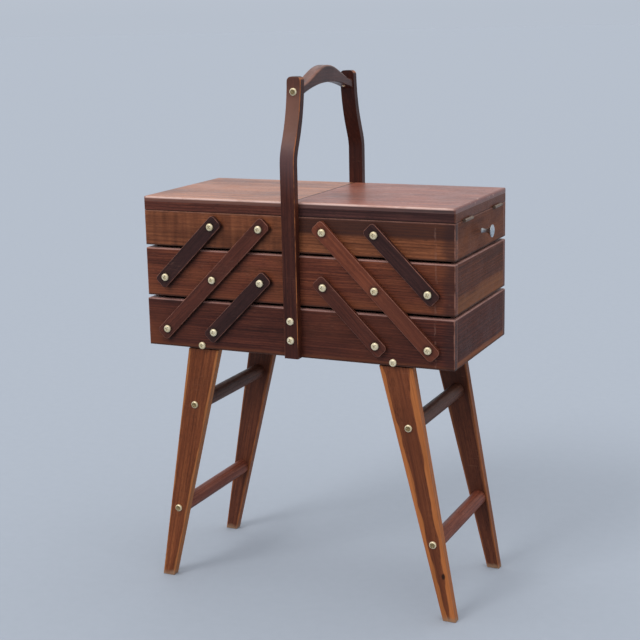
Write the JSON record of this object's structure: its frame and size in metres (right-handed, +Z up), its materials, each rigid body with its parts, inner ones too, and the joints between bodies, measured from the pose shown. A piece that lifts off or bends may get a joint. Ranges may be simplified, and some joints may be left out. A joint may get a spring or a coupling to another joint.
{
  "type": "cantilever sewing box on legs",
  "caption": "Wooden sewing box on splayed legs with two tiers of half-length trays that swing out to both sides on parallel arms, hinged lids and a carrying handle.",
  "frame": {"origin": "on the floor under the middle of the box", "axes": "+Z up, +X along the box towards its right end seen from the front, +Y from the front face to the back face"},
  "size_m": [0.4718, 0.241, 0.7118],
  "materials": {
    "lid_wood": "satin reddish-brown stain, thin polish, fine dark pores along the length",
    "box_wood": "satin dark reddish-brown stain, edges worn lighter",
    "inner_wood": "plain oiled inside, slightly lighter",
    "arm_wood": "satin dark purplish-brown stain, eased edges",
    "handle_wood": "hand-worn satin dark red-brown",
    "leg_wood": "satin orange-brown with darker grain and light edges",
    "screw_brass": "dull pale brass, dark cross recess",
    "hinge_metal": "dull worn brass",
    "knob_metal": "light grey satin metal"
  },
  "bodies": {
    "base": {"box_front_board": "box_wood", "box_back_board": "box_wood", "box_left_end_board": "box_wood", "box_right_end_board": "box_wood", "box_bottom_panel": "inner_wood", "handle_front_upright": "handle_wood", "handle_back_upright": "handle_wood", "handle_crossbar": "handle_wood", "front_left_leg": "leg_wood", "front_right_leg": "leg_wood", "back_left_leg": "leg_wood", "back_right_leg": "leg_wood", "left_upper_stretcher": "leg_wood", "left_lower_stretcher": "leg_wood", "right_upper_stretcher": "leg_wood", "right_lower_stretcher": "leg_wood", "handle_screws": "screw_brass", "leg_screws": "screw_brass", "box_arm_screws": "screw_brass"},
    "right_long_arms": {"right_long_arms": "arm_wood"},
    "right_lower_short_arms": {"right_lower_short_arms": "arm_wood"},
    "right_upper_short_arms": {"right_upper_short_arms": "arm_wood"},
    "right_mid_tray": {"right_mid_tray_front_board": "box_wood", "right_mid_tray_back_board": "box_wood", "right_mid_tray_outer_board": "box_wood", "right_mid_tray_inner_board": "inner_wood", "right_mid_tray_bottom_panel": "inner_wood", "right_mid_tray_screws": "screw_brass"},
    "right_top_tray": {"right_top_tray_front_board": "box_wood", "right_top_tray_back_board": "box_wood", "right_top_tray_outer_board": "box_wood", "right_top_tray_inner_board": "inner_wood", "right_top_tray_bottom_panel": "inner_wood", "right_top_tray_screws": "screw_brass", "right_knob": "knob_metal", "right_hinge_tray_leaves": "hinge_metal"},
    "right_lid": {"right_lid_panel": "lid_wood", "right_lid_rim": "lid_wood", "right_hinge_lid_leaves": "hinge_metal"},
    "left_long_arms": {"left_long_arms": "arm_wood"},
    "left_lower_short_arms": {"left_lower_short_arms": "arm_wood"},
    "left_upper_short_arms": {"left_upper_short_arms": "arm_wood"},
    "left_mid_tray": {"left_mid_tray_front_board": "box_wood", "left_mid_tray_back_board": "box_wood", "left_mid_tray_outer_board": "box_wood", "left_mid_tray_inner_board": "inner_wood", "left_mid_tray_bottom_panel": "inner_wood", "left_mid_tray_screws": "screw_brass"},
    "left_top_tray": {"left_top_tray_front_board": "box_wood", "left_top_tray_back_board": "box_wood", "left_top_tray_outer_board": "box_wood", "left_top_tray_inner_board": "inner_wood", "left_top_tray_bottom_panel": "inner_wood", "left_top_tray_screws": "screw_brass", "left_knob": "knob_metal", "left_hinge_tray_leaves": "hinge_metal"},
    "left_lid": {"left_lid_panel": "lid_wood", "left_lid_rim": "lid_wood", "left_hinge_lid_leaves": "hinge_metal"}
  },
  "joints": [
    {"name": "right_arm_swing", "type": "hinge", "parent": "base", "child": "right_long_arms", "pos_m": [0.187, 0, 0.3653], "axis": [0, 1, 0], "range_deg": [0, 90]},
    {"name": "right_mid_tray_level", "type": "hinge", "parent": "right_long_arms", "child": "right_mid_tray", "pos_m": [0.116, 0, 0.4363], "axis": [0, 1, 0], "range_deg": [-90, 0]},
    {"name": "right_top_tray_level", "type": "hinge", "parent": "right_long_arms", "child": "right_top_tray", "pos_m": [0.045, 0, 0.5073], "axis": [0, 1, 0], "range_deg": [-90, 0]},
    {"name": "right_lower_short_swing", "type": "hinge", "parent": "base", "child": "right_lower_short_arms", "pos_m": [0.116, 0, 0.3653], "axis": [0, 1, 0], "range_deg": [0, 90]},
    {"name": "right_upper_short_swing", "type": "hinge", "parent": "right_mid_tray", "child": "right_upper_short_arms", "pos_m": [0.187, 0, 0.4363], "axis": [0, 1, 0], "range_deg": [0, 90]},
    {"name": "right_lid_hinge", "type": "hinge", "parent": "right_top_tray", "child": "right_lid", "pos_m": [0.2224, 0, 0.5252], "axis": [0, 1, 0], "range_deg": [0, 150]},
    {"name": "left_arm_swing", "type": "hinge", "parent": "base", "child": "left_long_arms", "pos_m": [-0.187, 0, 0.3653], "axis": [0, -1, 0], "range_deg": [0, 90]},
    {"name": "left_mid_tray_level", "type": "hinge", "parent": "left_long_arms", "child": "left_mid_tray", "pos_m": [-0.116, 0, 0.4363], "axis": [0, -1, 0], "range_deg": [-90, 0]},
    {"name": "left_top_tray_level", "type": "hinge", "parent": "left_long_arms", "child": "left_top_tray", "pos_m": [-0.045, 0, 0.5073], "axis": [0, -1, 0], "range_deg": [-90, 0]},
    {"name": "left_lower_short_swing", "type": "hinge", "parent": "base", "child": "left_lower_short_arms", "pos_m": [-0.116, 0, 0.3653], "axis": [0, -1, 0], "range_deg": [0, 90]},
    {"name": "left_upper_short_swing", "type": "hinge", "parent": "left_mid_tray", "child": "left_upper_short_arms", "pos_m": [-0.187, 0, 0.4363], "axis": [0, -1, 0], "range_deg": [0, 90]},
    {"name": "left_lid_hinge", "type": "hinge", "parent": "left_top_tray", "child": "left_lid", "pos_m": [-0.2224, 0, 0.5252], "axis": [0, -1, 0], "range_deg": [0, 150]}
  ],
  "couplings": [
    {"joint": "right_mid_tray_level", "follows": "right_arm_swing", "ratio": -1},
    {"joint": "right_top_tray_level", "follows": "right_arm_swing", "ratio": -1},
    {"joint": "right_lower_short_swing", "follows": "right_arm_swing", "ratio": 1},
    {"joint": "right_upper_short_swing", "follows": "right_arm_swing", "ratio": 1},
    {"joint": "left_mid_tray_level", "follows": "left_arm_swing", "ratio": -1},
    {"joint": "left_top_tray_level", "follows": "left_arm_swing", "ratio": -1},
    {"joint": "left_lower_short_swing", "follows": "left_arm_swing", "ratio": 1},
    {"joint": "left_upper_short_swing", "follows": "left_arm_swing", "ratio": 1}
  ]
}
